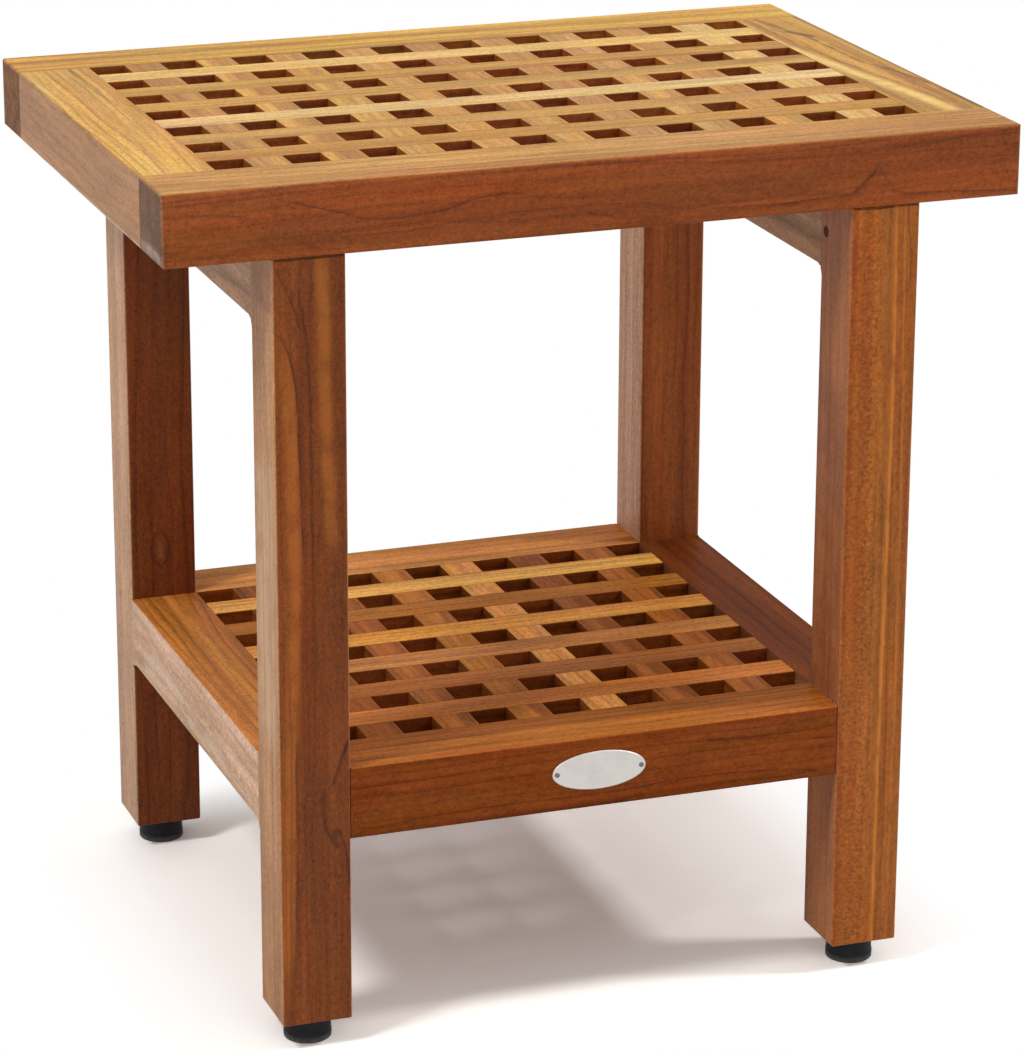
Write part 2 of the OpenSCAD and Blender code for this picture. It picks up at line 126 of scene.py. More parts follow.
def swing(tree, value, gain, base=0.0):
    """How far value, such as a noise, is from a half, times gain and added to base."""
    return times(tree, calc(tree, "SUBTRACT", value, 0.5), gain, base)


def move(tree, operation, a, b=(0, 0, 0), c=(0, 0, 0)):
    """One sum, product or other operation on vectors; returns its output."""
    return add(tree, "ShaderNodeVectorMath", {0: a, 1: b, 2: c}, operation=operation).outputs[0]


def length(tree, vector):
    """The length of a vector."""
    return add(tree, "ShaderNodeVectorMath", {0: vector}, operation="LENGTH").outputs["Value"]


def split(tree, vector):
    """The X, Y and Z of a vector."""
    return add(tree, "ShaderNodeSeparateXYZ", {0: vector}).outputs


def own_point(tree):
    """The point that is being shaded, in metres."""
    return add(tree, "ShaderNodeTexCoord", {}).outputs["Object"]


def ramp(tree, value, low, high, to_low=0.0, to_high=1.0):
    """A smooth step of value: to_low up to low, to_high from high on."""
    limits = {"Value": value, "From Min": low, "From Max": high, "To Min": to_low, "To Max": to_high}
    return add(tree, "ShaderNodeMapRange", limits, interpolation_type="SMOOTHSTEP").outputs["Result"]


def looking(tree, part, elsewhere=0.0):
    """1 on faces that look along an axis, either way, and elsewhere on others; part is what the normal
    has of that axis."""
    return ramp(tree, calc(tree, "ABSOLUTE", part), 0.5, 0.9, elsewhere, 1.0)


def patches(tree, vector, scale, detail, rough):
    """Soft random patches, scale of them to a metre along each axis, as a value and as a colour."""
    scaled = move(tree, "MULTIPLY", vector, scale)
    look = {"Vector": scaled, "Scale": 1.0, "Detail": detail, "Roughness": rough}
    return add(tree, "ShaderNodeTexNoise", look).outputs


def noise(tree, vector, scale, detail=2.0, rough=0.5):
    """The value of soft random patches."""
    return patches(tree, vector, scale, detail, rough)[0]


def swirl(tree, vector, scale, reach):
    """The vector moved about by soft random patches, by up to half of reach."""
    drift = patches(tree, vector, scale, 3.0, 0.6)["Color"]
    return move(tree, "MULTIPLY_ADD", move(tree, "SUBTRACT", drift, (0.5, 0.5, 0.5)), reach, vector)


def mix(tree, share, a, b, blend="MIX"):
    """Two colours mixed by share; returns the colour."""
    node = add(tree, "ShaderNodeMix", {}, data_type="RGBA", blend_type=blend)
    return fill(tree, node, {0: share, 6: a, 7: b}).outputs[2]


def shaded(tree, colour, shade):
    """A colour whose three values are all multiplied by shade."""
    grey = add(tree, "ShaderNodeCombineColor", {0: shade, 1: shade, 2: shade}).outputs[0]
    return mix(tree, 1.0, colour, grey, "MULTIPLY")


def open_group(name, inputs, outputs, kind="ShaderNodeTree"):
    """A new node group with sockets {name: kind}; returns it, its inputs and its last node."""
    group = bpy.data.node_groups.new(name, kind)
    for sockets, side in ((inputs, "INPUT"), (outputs, "OUTPUT")):
        for socket, sort in sockets.items():
            group.interface.new_socket(socket, in_out=side, socket_type=sort)
    return group, group.nodes.new("NodeGroupInput").outputs, group.nodes.new("NodeGroupOutput")


def use_group(tree, group, inputs):
    """Places a node group in a graph; returns its outputs."""
    node = tree.nodes.new("ShaderNodeGroup")
    node.node_tree = group
    return fill(tree, node, inputs).outputs


def linear(screen):
    """A colour as a screen shows it, from 0 to 255, as the linear values that light uses."""
    share = np.array(screen, float) / 255
    return np.where(share <= 0.04045, share / 12.92, ((share + 0.055) / 1.055) ** 2.4)


def paint(values):
    """Three linear values as a socket's colour."""
    return (*[float(v) for v in values], 1.0)


# %% [markdown]
# ## The teak
# The pattern of wood is a solid one: it depends on the point in space, and the saw only decides
# which points show. Growth rings are tubes round the heart of the tree. A face that cuts them along
# shows lines, one that grazes them shows arches, and an end shows arcs, all from one formula. Over
# that lie slow bands of colour, fine fibres, and the open pores that teak is known for.

# %% The grain, as a group that every stick shares
def grain_group():
    """Point in the tree, with X along the grain and the heart on the X axis, to the marks of the wood.

    A ring is the distance from the heart, bent by noise, over the ring width; it starts with a dark
    line that fades and has more pores. Bands, clouds, fibres, hairs and pores are noise drawn out
    along X. Veins are thin lines where one slow noise passes a half. Mottle is a fine fleck. The hue
    drifts: warm between red and gold, cool between yellow and grey.
    """
    tree, given, out = open_group(
        "teak_grain",
        {
            "Place": VECTOR, "Ring width": FLOAT, "Bands": FLOAT, "Rings": FLOAT, "Veins": FLOAT,
            "Mottle": FLOAT, "Hue": FLOAT, "End": FLOAT,
        },
        {"Dark": FLOAT, "Line": FLOAT, "Shade": FLOAT, "Tint": COLOUR, "Dull": FLOAT, "Height": FLOAT},
    )
    place = given["Place"]

    bent = swirl(tree, place, (2.6, 14, 14), (0, 0.022, 0.022))
    bent = swirl(tree, bent, (7, 85, 85), (0, 0.0024, 0.0024))
    flat = move(tree, "MULTIPLY", bent, (0, 1, 1))
    radius = length(tree, flat)
    ring = calc(tree, "FRACT", calc(tree, "DIVIDE", radius, given["Ring width"]))
    start = calc(tree, "MAXIMUM", calc(tree, "POWER", calc(tree, "SUBTRACT", 1.0, ring), 5.0),
                 ramp(tree, ring, 0.92, 1.0))
    fade = ramp(tree, noise(tree, place, (3, 60, 60), 1.0), 0.35, 0.65, 0.2, 1.0)
    line = times(tree, times(tree, start, fade), given["Rings"])

    broad = noise(tree, place, (1.3, 34, 34), 1.5)
    narrow = noise(tree, place, (1.8, 120, 120), 2.0, 0.6)
    band = times(tree, narrow, 0.6, times(tree, broad, 0.4))
    band = swing(tree, ramp(tree, band, 0.36, 0.64), given["Bands"], 0.5)
    slow = noise(tree, place, (1.5, 24, 24), 1.0)
    vein = calc(tree, "ABSOLUTE", calc(tree, "SUBTRACT", slow, 0.5))
    vein = times(tree, ramp(tree, vein, 0.002, 0.013, 1.0, 0.0), given["Veins"])
    dark = calc(tree, "MULTIPLY_ADD", line, 0.55, band, clamp=True)
    thin = calc(tree, "MAXIMUM", vein, times(tree, line, 0.4))

    fibre = noise(tree, place, (330, 480, 480), 4.0, 0.75)
    speck = times(tree, start, 0.07, noise(tree, place, (420, 1300, 1300), 1.0))
    pore = ramp(tree, speck, 0.57, 0.68)
    hair = noise(tree, place, (30, 700, 700), 2.0)
    ripple = noise(tree, place, (520, 420, 420), 2.0, 0.6)
    shade = swing(tree, fibre, 1.25, 1.03)
    shade = swing(tree, hair, 0.30, shade)
    cloud = noise(tree, place, (13, 70, 70), 3.0, 0.8)
    shade = swing(tree, cloud, 0.85, shade)
    figure = swing(tree, ripple, given["Mottle"])
    shade = times(tree, figure, 2.4, shade)
    shade = times(tree, pore, -0.14, shade)
    grit = noise(tree, place, (1500, 1500, 1500), 0.0)
    shade = swing(tree, grit, 0.65, shade)
    dotted = noise(tree, place, (20, 800, 800), 2.0, 0.6)
    end_shade = swing(tree, dotted, 0.9, 0.62)
    shade = times(tree, given["End"], calc(tree, "SUBTRACT", end_shade, shade), shade)

    warm = swing(tree, noise(tree, place, (5, 50, 50), 3.0, 0.7), given["Hue"])
    cool = swing(tree, noise(tree, place, (8, 80, 80), 3.0, 0.7), given["Hue"])
    red = times(tree, warm, -0.25, 1.0)
    green = times(tree, cool, 0.25, times(tree, warm, 0.4, 1.0))
    blue = times(tree, cool, 1.7, times(tree, warm, 0.2, 1.0))
    tint = add(tree, "ShaderNodeCombineColor", {0: red, 1: green, 2: blue}).outputs[0]

    dull = swing(tree, fibre, 0.35, 0.50)
    dull = times(tree, pore, 0.15, dull)
    dull = times(tree, given["End"], 0.2, dull)
    high = times(tree, pore, -0.8, times(tree, fibre, 0.6))
    high = times(tree, figure, 0.8, high)
    high = times(tree, line, -0.3, high)
    made = {"Dark": dark, "Line": thin, "Shade": shade, "Tint": tint, "Dull": dull, "Height": high}
    fill(tree, out, made)
    return tree


TEAK_GRAIN = grain_group()
print("grain group with", len(TEAK_GRAIN.nodes), "nodes")

# %% [markdown]
# ## Tones
# Fresh teak heartwood is reddish brown. Light and water bleach it to gold, and soap and drying turn
# it grey. Here the tops are the most golden, partly bleached wood and partly a painted sheen, the
# outer sides are greyer, partly grey wood and partly a painted sheen, and the fronts keep their red.
# So a stick has three tones, for its faces along Y, along X and up, and the group picks one by the
# way that a face looks.

# %% Tones of teak
WOODS = {
    "red": ((170, 86, 36), (119, 55, 20), (56, 25, 12)),
    "gold": ((222, 169, 62), (184, 126, 42), (100, 58, 24)),
    "sap": ((238, 202, 120), (214, 168, 84), (150, 100, 48)),
    "grey": ((196, 168, 140), (150, 122, 98), (104, 78, 58)),
}


def tone(gold=0.0, shade=1.0, grey=0.0, even=0.0):
    """Light, dark and line colours of a face. Gold goes from 0, red, over 1, gold, to 2, pale sapwood,
    and grey is the share of grey over that: grey wood, and on the flanks partly a painted sheen. Even
    draws the three colours together, and below 0 it sets light and dark further apart. Shade makes all
    three brighter or darker."""
    parts = {name: np.array([linear(colour) for colour in colours]) for name, colours in WOODS.items()}
    colours = parts["red"] + (parts["gold"] - parts["red"]) * min(gold, 1.0)
    colours = colours + (parts["sap"] - parts["gold"]) * max(gold - 1.0, 0.0)
    colours = colours * (1 - grey) + parts["grey"] * grey
    middle = colours[:2].mean(axis=0)
    colours[:2] += (middle - colours[:2]) * even
    colours[2] += (middle - colours[2]) * max(even, 0.0) * 0.7
    return [paint(colour * shade) for colour in colours]


FACES = ("Front", "Flank", "Top")
PARTS = ("Light", "Dark", "Line")


def tones_group():
    """Picks light, dark and line colours by the way a face looks, and mixes them by the grain."""
    inputs = {f"{face} {part}": COLOUR for face in FACES for part in PARTS}
    inputs.update({"Normal": VECTOR, "Dark": FLOAT, "Line": FLOAT, "Shade": FLOAT, "Tint": COLOUR})
    tree, given, out = open_group("teak_tones", inputs, {"Colour": COLOUR})
    looks = split(tree, given["Normal"])
    # Faces along X take the flank tone and faces that look up the top tone; both are partly a painted
    # sheen.
    side = looking(tree, looks[0])
    up = ramp(tree, looks[2], 0.6, 0.97)
    picked = []
    for part in PARTS:
        colour = mix(tree, side, given[f"Front {part}"], given[f"Flank {part}"])
        picked.append(mix(tree, up, colour, given[f"Top {part}"]))
    colour = mix(tree, given["Dark"], picked[0], picked[1])
    colour = mix(tree, given["Line"], colour, picked[2])
    colour = shaded(tree, colour, given["Shade"])
    tint = mix(tree, times(tree, side, 0.65), given["Tint"], (1, 1, 1, 1))
    fill(tree, out, {"Colour": mix(tree, 1.0, colour, tint, "MULTIPLY")})
    return tree


TEAK_TONES = tones_group()
print("tones group with", len(TEAK_TONES.nodes), "nodes")

# %% [markdown]
# ## Worn and highlit edges
# Hands and cloths polish the edges of a bench first, so the edges turn a little paler. The edges of
# faces that look up are paler still, and that part is a painted highlight. A stick is nearly a box,
# so an edge is where two of the three distances to the faces of its box are small at once. The group
# measures the middle one of those three distances.

# %% Edge wear and painted highlight, as a group
def wear_and_highlight_group():
    """Point, middle and half size of a box to a mask: 1 on its edges, 0 from Width inwards.

    With a, b, c the distances to the nearest face along each axis, the middle one of the three is
    max(min(a, b), min(max(a, b), c)). Noise makes the line uneven.
    """
    inputs = {"Place": VECTOR, "Middle": VECTOR, "Half": VECTOR, "Width": FLOAT}
    tree, given, out = open_group("edge_wear_and_highlight", inputs, {"Mask": FLOAT})
    away = move(tree, "ABSOLUTE", move(tree, "SUBTRACT", given["Place"], given["Middle"]))
    inside = split(tree, move(tree, "SUBTRACT", given["Half"], away))
    low = calc(tree, "MINIMUM", inside[0], inside[1])
    high = calc(tree, "MAXIMUM", inside[0], inside[1])
    middle = calc(tree, "MAXIMUM", low, calc(tree, "MINIMUM", high, inside[2]))
    uneven = noise(tree, given["Place"], (120, 120, 120), 3.0)
    reach = times(tree, given["Width"], times(tree, uneven, 1.6, 0.2))
    mask = calc(tree, "SUBTRACT", 1.0, calc(tree, "DIVIDE", middle, reach), clamp=True)
    fill(tree, out, {"Mask": mask})
    return tree


EDGE_WEAR_AND_HIGHLIGHT = wear_and_highlight_group()
print("wear group with", len(EDGE_WEAR_AND_HIGHLIGHT.nodes), "nodes")

# %% [markdown]
# ## One material for each stick
# A stick's material turns the pattern so that its grain runs along X, moves the heart of the tree to
# where it was, and hands the result to the grain group. Some sticks also carry marks that anyone
# would know them by, such as a dark vein or a pale band. A mark is a curve drawn on a face.

# %% Marks on a stick
AXES = "xyz"
WANDER = 1.8  # how far a mark strays from its curve, in mm


def mark(tree, place, facing, plane, points, width, fade=0.0, pointed=False):
    """Mask of a line on a face: plane names the axis that it runs along and the one that it curves
    along, and the curve goes through points, which are {along: across} in mm.

    The mask is 1 on the curve and falls off over the width. It also fades slowly over fade mm to one
    side, as a growth ring does, and it wanes past the first and the last point and in patches.
    """
    run, across = (AXES.index(axis) for axis in plane)
    third = 3 - run - across  # the axis that the marked face looks along
    parts = split(tree, place)
    along, height = parts[run], parts[across]
    points = sorted((a * MM, b * MM) for a, b in points.items())
    start, end = points[0][0], points[-1][0]
    low = min(b for a, b in points) - 5 * MM
    high = max(b for a, b in points) + 5 * MM
    share = calc(tree, "DIVIDE", calc(tree, "SUBTRACT", along, start), end - start, clamp=True)
    curve = tree.nodes.new("ShaderNodeFloatCurve")
    line = curve.mapping.curves[0]
    line.points[0].location = (0.0, (points[0][1] - low) / (high - low))
    line.points[1].location = (1.0, (points[-1][1] - low) / (high - low))
    for a, b in points[1:-1]:
        line.points.new((a - start) / (end - start), (b - low) / (high - low))
    for point in line.points:
        point.handle_type = "VECTOR" if pointed else "AUTO"
    curve.mapping.update()
    tree.links.new(share, curve.inputs["Value"])
    centre = times(tree, curve.outputs[0], high - low, low)
    centre = swing(tree, noise(tree, place, (90, 90, 90), 3.0, 0.6), WANDER * MM, centre)
    away = calc(tree, "SUBTRACT", height, centre)
    mask = ramp(tree, calc(tree, "ABSOLUTE", away), 0.15 * width * MM, 0.85 * width * MM, 1.0, 0.0)
    if fade:
        aside = calc(tree, "DIVIDE", away, fade * MM)
        skirt = times(tree, ramp(tree, aside, 0.0, 1.0, 0.55, 0.0), ramp(tree, aside, -0.02, 0.02))
        mask = calc(tree, "MAXIMUM", mask, skirt)
    edge = 0.08 * (end - start)
    mask = times(tree, mask, ramp(tree, along, start - edge, start + edge))
    mask = times(tree, mask, ramp(tree, along, end - edge, end + edge, 1.0, 0.0))
    mask = times(tree, mask, looking(tree, facing[third]))
    uneven = ramp(tree, noise(tree, place, (70, 70, 70), 2.0), 0.3, 0.6, 0.45, 1.0)
    return times(tree, mask, uneven)


# %% A teak material
TURN = {"x": (0, 0, 0), "y": (0, 0, -math.pi / 2), "z": (0, math.pi / 2, 0)}
PLAIN = dict(ring=4.2, bands=0.6, rings=0.5, veins=0.3, mottle=0.10, hue=1.0, flecks=None)
NEXT_STICK = 0.37  # how far along the tree each stick lies from the last, in m
# The paler edges are partly worn and, where they face up, partly a painted highlight.
WEAR_AND_HIGHLIGHT_WIDTH = 1.2  # width of the worn edges, in mm
count = 0


def box_of(name):
    """Middle and half size of a piece, in metres."""
    low, high = (np.array(corner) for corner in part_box(name))
    return (low + high) / 2, (high - low) / 2


def shader(name, **constants):
    """A material whose Principled shader has these constants; returns it, its graph and the shader."""
    material = bpy.data.materials.new(name)
    material.use_nodes = True
    principled = material.node_tree.nodes["Principled BSDF"]
    for key, value in constants.items():
        principled.inputs[key.replace("_", " ")].default_value = value
    return material, material.node_tree, principled


def surface(tree, principled, colour, dull, height, depth, strength):
    """Gives the shader a colour, a roughness and a bump that is depth mm deep where height is 1."""
    relief = {"Strength": strength, "Distance": depth * MM, "Height": height}
    bump = add(tree, "ShaderNodeBump", relief).outputs[0]
    fill(tree, principled, {"Base Color": colour, "Roughness": dull, "Normal": bump})


def teak(name, grain, front, flank, top, heart=(30, 70), tilt=(0.0, 0.0), marks=(), ior=1.25, **look):
    """Teak for one stick: grain is its direction, front, flank and top are tones, heart is the place of
    the tree's heart beside the stick's middle in mm, tilt the slope of the grain, and marks are lists
    of (colour, strength, plane, points, width, fade, pointed). Flecks are (axis, start, stop): the
    mottle lies on the front and wanes along that axis from start to stop."""
    global count
    count += 1
    material, tree, principled = shader(f"teak_{name}", IOR=ior)
    middle, half = box_of(name)
    place = own_point(tree)
    centred = move(tree, "SUBTRACT", place, tuple(middle))
    turned = add(tree, "ShaderNodeMapping", {"Vector": centred, "Rotation": TURN[grain]}).outputs[0]
    aside = (NEXT_STICK * count, heart[0] * MM, heart[1] * MM)
    laid = {"Vector": turned, "Location": aside, "Rotation": (0, tilt[0], tilt[1])}
    laid = add(tree, "ShaderNodeMapping", laid).outputs[0]
    normal = add(tree, "ShaderNodeNewGeometry", {}).outputs["Normal"]
    facing = split(tree, normal)
    end = ramp(tree, calc(tree, "ABSOLUTE", facing[AXES.index(grain)]), 0.85, 0.97)
    values = {**PLAIN, **look}
    mottle = values["mottle"]
    if values["flecks"]:
        axis, start, stop = values["flecks"]
        along = split(tree, place)[AXES.index(axis)]
        mottle = ramp(tree, along, start * MM, stop * MM, mottle, 0.15 * mottle)
        mottle = times(tree, mottle, looking(tree, facing[1], 0.1))
    pattern = {"Place": laid, "Ring width": values["ring"] * MM, "Mottle": mottle, "End": end}
    pattern.update({key.capitalize(): values[key] for key in ("bands", "rings", "veins", "hue")})
    wood = use_group(tree, TEAK_GRAIN, pattern)
    colours = {}
    for face, mixed in zip(FACES, (front, flank, top)):
        colours.update({f"{face} {part}": colour for part, colour in zip(PARTS, mixed)})
    masks = {key: wood[key] for key in ("Dark", "Line", "Shade", "Tint")}
    colour = use_group(tree, TEAK_TONES, {**colours, **masks, "Normal": normal})["Colour"]
    for shown, strength, *line in marks:
        mask = times(tree, mark(tree, place, facing, *line), strength)
        colour = mix(tree, mask, colour, paint(linear(shown)))
    box = {"Place": place, "Middle": tuple(middle), "Half": tuple(half), "Width": WEAR_AND_HIGHLIGHT_WIDTH * MM}
    # Paler edges: partly real wear, and on faces that look up partly a painted highlight.
    wear_and_highlight = use_group(tree, EDGE_WEAR_AND_HIGHLIGHT, box)["Mask"]
    wear_and_highlight = times(tree, wear_and_highlight, ramp(tree, facing[2], 0.1, 0.6, 0.04, 0.16))
    colour = mix(tree, wear_and_highlight, colour, top[0])
    surface(tree, principled, colour, wood["Dull"], wood["Height"], depth=0.12, strength=0.5)
    return material


# %% [markdown]
# ## Eased edges
# The maker rounded the outer edges of the seat and the feet of the legs well, those of the shelf a
# little, and broke all others, also where two sticks meet, with a stroke of sandpaper. A geometry
# graph gives each sharp edge of a stick a weight by where it lies on a box, and a bevel rounds it by
# that weight.

# %% Weights of edges, as a geometry group
ROUND = 3.0  # radius of a fully rounded edge, in mm
TOUCH = 0.15  # weight of an edge that only saw sandpaper
SHARP = 40  # an edge is sharp from this angle on, in degrees


def edge_group():
    """Stores a weight on each edge of a mesh: Upright where it lies on two upright faces of the box,
    Level on a level face and one that looks along Y, End on a level face and one that looks along X,
    and TOUCH on other sharp edges."""
    inputs = {"Geometry": GEOMETRY, "Middle": VECTOR, "Half": VECTOR}
    inputs.update({"Upright": FLOAT, "Level": FLOAT, "End": FLOAT})
    tree, given, out = open_group("edge_weights", inputs, {"Geometry": GEOMETRY}, "GeometryNodeTree")
    place = tree.nodes.new("GeometryNodeInputPosition").outputs[0]
    away = move(tree, "ABSOLUTE", move(tree, "SUBTRACT", place, given["Middle"]))
    inside = split(tree, move(tree, "SUBTRACT", given["Half"], away))
    on_x, on_y, on_z = (calc(tree, "LESS_THAN", inside[axis], 0.1 * MM) for axis in range(3))
    weight = TOUCH
    for one, other, name in ((on_x, on_y, "Upright"), (on_y, on_z, "Level"), (on_x, on_z, "End")):
        share = times(tree, times(tree, one, other), given[name])
        weight = calc(tree, "MAXIMUM", weight, share)
    angle = tree.nodes.new("GeometryNodeInputMeshEdgeAngle").outputs[0]
    weight = times(tree, weight, calc(tree, "GREATER_THAN", angle, math.radians(SHARP)))
    inputs = {"Geometry": given["Geometry"], "Name": "bevel_weight_edge", "Value": weight}
    stored = add(tree, "GeometryNodeStoreNamedAttribute", inputs, data_type="FLOAT", domain="EDGE")
    fill(tree, out, {"Geometry": stored.outputs[0]})
    return tree


EDGE_WEIGHTS = edge_group()
print("edge group with", len(EDGE_WEIGHTS.nodes), "nodes")

# %% Easing a stick
def run_group(piece, name, group, values):
    """Adds a geometry group to a piece as a modifier with these input values."""
    modifier = piece.modifiers.new(name, "NODES")
    modifier.node_group = group
    for socket in group.interface.items_tree:
        if socket.name in values:
            modifier[socket.identifier] = values[socket.name]


def ease(name, box=None, upright=TOUCH, level=TOUCH, end=TOUCH, width=ROUND):
    """Welds a piece's loose triangles, rounds its sharp edges and evens the shading. The weights
    upright, level and end are for edges on this box, given by its middle and half size in metres."""
    piece = nodes[name]
    piece.modifiers.new("weld", "WELD").merge_threshold = 0.01 * MM
    middle, half = box or box_of(name)
    extent = {"Middle": tuple(middle), "Half": tuple(half)}
    run_group(piece, "weights", EDGE_WEIGHTS, {**extent, "Upright": upright, "Level": level, "End": end})
    soft = piece.modifiers.new("ease", "BEVEL")
    soft.width = width * MM
    soft.segments = 3
    soft.limit_method = "WEIGHT"
    even = piece.modifiers.new("even", "WEIGHTED_NORMAL")
    even.weight = 80
    return piece


def dress(name, grain, front, flank, top, edges=None, **look):
    """Eases a stick's edges, as edges says, and gives it its teak."""
    stick = ease(name, **(edges or {}))
    stick.data.materials.clear()
    stick.data.materials.append(teak(name, grain, front, flank, top, **look))


# %% [markdown]
# ## The sticks
# The seat is pale and golden, the legs are redder, and each stick is its own piece of a tree. The
# tones and the marks below were chosen stick by stick.

# %% Frame round the seat
INK = (60, 27, 13)  # the colours of marks, as a screen shows them
EMBER = (100, 44, 17)
AMBER = (206, 124, 50)
RUST = (156, 68, 20)
CREAM = (240, 204, 122)
PALE = (200, 166, 132)
GLINT = (206, 188, 178)
CHALK = (214, 192, 172)

rails = np.array([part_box(f"top_{side}_rail") for side in ("front", "back", "left", "right")])
seat_low, seat_high = rails[:, 0].min(axis=0), rails[:, 1].max(axis=0)
SEAT_BOX = ((seat_low + seat_high) / 2, (seat_high - seat_low) / 2)
SEAT_EDGES = dict(box=SEAT_BOX, upright=0.8, level=0.45, end=0.9)

dress(
    "top_front_rail", "x", tone(0.02, 0.9), tone(0.0, 0.68, 0.58), tone(0.6, 0.99, 0.14, -0.7),
    edges=SEAT_EDGES, heart=(55, 20), tilt=(0.02, 0.015), veins=0.25, mottle=0.12, bands=0.5, rings=0.3,
    marks=[
        (INK, 0.5, "xz", {-226: 444, -207: 445, -185: 443}, 0.9, -3),
        (INK, 0.55, "xz", {-165: 449, -137: 441, -117: 436, -91: 437, -60: 443, -45: 443}, 0.8, 3),
        (INK, 0.4, "xz", {-150: 430, -110: 429, -60: 433, 0: 434, 60: 427, 137: 427}, 0.7, -3),
        (INK, 0.5, "xz", {-24: 454.5, 30: 454, 90: 452.5, 150: 454.5}, 0.7, 2),
        (INK, 0.6, "xz", {90: 426, 132: 428, 137: 430, 147.5: 442, 155: 429, 162: 426, 190: 425,
                          226: 423}, 0.8, -3, True),
        (INK, 0.45, "xz", {136: 431, 142: 436, 147: 439, 152: 434, 156: 430}, 2.0),
        (EMBER, 0.4, "xz", {134: 452, 141: 448, 147: 447, 154: 450, 165: 452}, 1.2, -4),
        (EMBER, 0.3, "xz", {-200: 425, -150: 423, -90: 426}, 1.0, 4),
        (CREAM, 0.14, "xy", {-140: -140, -100: -133, -60: -146}, 6.0),
        (EMBER, 0.28, "xy", {-114: -137, -95: -128, -76: -133, -65: -148}, 1.2, -5),
        (EMBER, 0.26, "xy", {30: -133, 80: -136, 130: -131, 180: -135}, 1.0, -4),
        (EMBER, 0.26, "xy", {-180: -150, -90: -153, 20: -150, 140: -154}, 0.8, 3),
        (EMBER, 0.14, "xy", {172: -143, 200: -143, 226: -143}, 30.0),
        (EMBER, 0.22, "xy", {-226: -146, -208: -150, -184: -158}, 16.0),
        (GLINT, 0.4, "yz", {-160: 423.5, -142: 424.5, -124: 423.5}, 5.0),
    ],
)
dress(
    "top_back_rail", "x", tone(0.15, 0.8), tone(0.1, 0.9, 0.3), tone(1.0, 0.88, 0.02, -0.5),
    edges=SEAT_EDGES, heart=(60, 30), rings=0.4, bands=0.9,
)
dress(
    "top_left_rail", "y", tone(0.1, 0.9), tone(0.32, 0.92, 0.38, 0.85), tone(1.08, 1.0, 0.12),
    edges=SEAT_EDGES, heart=(90, 60), rings=1.0, ring=3.2, bands=0.9, veins=0.1,
    marks=[
        (INK, 0.25, "yz", {-46: 427, 0: 424, 36: 429, 80: 436, 129: 441}, 0.7, 3),
        (EMBER, 0.22, "yz", {-110: 447, -60: 444, -10: 446, 40: 443}, 0.8, -3),
        (EMBER, 0.5, "yx", {-120: -213, -60: -211, 0: -213, 60: -212, 122: -214}, 0.8, 4),
        (EMBER, 0.4, "yx", {-40: -199, 20: -197, 80: -200, 122: -199}, 0.8, 4),
        (GLINT, 0.6, "yz", {-122: 421.2, 0: 421.2, 60: 421.2}, 1.4),
    ],
)
dress(
    "top_right_rail", "y", tone(0.1, 0.9), tone(0.1, 0.9), tone(0.9, 0.86, 0.06, -0.5),
    edges=SEAT_EDGES, heart=(90, 50), rings=0.5, bands=1.0, veins=0.1,
    marks=[
        (EMBER, 0.3, "yx", {-122: 217, 20: 214, 124: 210}, 12.0),
        (CREAM, 0.75, "yx", {-122: 208, -70: 202, -20: 195, 40: 188, 124: 184}, 8.0, -10),
        (EMBER, 0.6, "yx", {-122: 213, -70: 210, -20: 203, 40: 197, 124: 195}, 1.6, -6),
        (INK, 0.55, "yx", {84: 204, 100: 203, 112: 201, 126: 199}, 4.5),
        (INK, 0.75, "yx", {68: 212, 76: 208, 86: 204}, 5.0),
        (INK, 0.8, "yx", {-122: 223.5, -66: 223, -20: 217, 0: 211, 40: 209.5, 74: 209}, 1.3, -4),
    ],
)

# %% Slats of the seat
# Each slat's tone, from the back to the front and from left to right
LONG_TONES = ((1.71, 1.06, 0.19), (0.89, 0.86, 0.06), (0.91, 0.98, 0.14),
              (1.8, 1.16, 0.4), (0.78, 1.0, 0.14), (0.69, 0.96, 0.05))
CROSS_TONES = ((0.63, 0.96, 0.12), (0.69, 1.03, 0.09), (0.76, 1.02, 0.12),
               (0.93, 1.07, 0.16), (0.7, 1.02, 0.13), (0.66, 1.09, 0.22),
               (0.7, 0.99, 0.17), (0.65, 1.03, 0.09), (1.14, 1.03, 0.3))
SLAT_SIDES = (tone(0.0, 0.8), tone(0.1, 0.8))
for i, look in enumerate(LONG_TONES, start=1):
    dress(
        f"top_slat_{i}", "x", *SLAT_SIDES, tone(*look),
        heart=(40 + 12 * i, 20), tilt=(0.0, 0.02 * (i % 3 - 1)), veins=0.25,
    )
for i, look in enumerate(CROSS_TONES, start=1):
    dress(
        f"top_cross_slat_{i}", "y", *SLAT_SIDES, tone(*look, -0.4),
        heart=(60 + 7 * i, 45), tilt=(0.0, 0.03 * (i % 4 - 1.5)), veins=0.2, rings=0.3, mottle=0.2,
    )

# %% Legs and aprons
def leg(side, front, flank, **look):
    """Dresses a leg. Its foot is rounded, and its box runs on past its top, so the edges of the joint
    under the seat stay crisp."""
    middle, half = box_of(f"leg_{side}")
    rise = np.array([0, 0, 25 * MM])  # the box grows by twice this at the top
    edges = dict(box=(middle + rise, half + rise), upright=0.5, level=0.85, end=0.85)
    dress(f"leg_{side}", "z", front, flank, tone(0.5), edges=edges, **look)


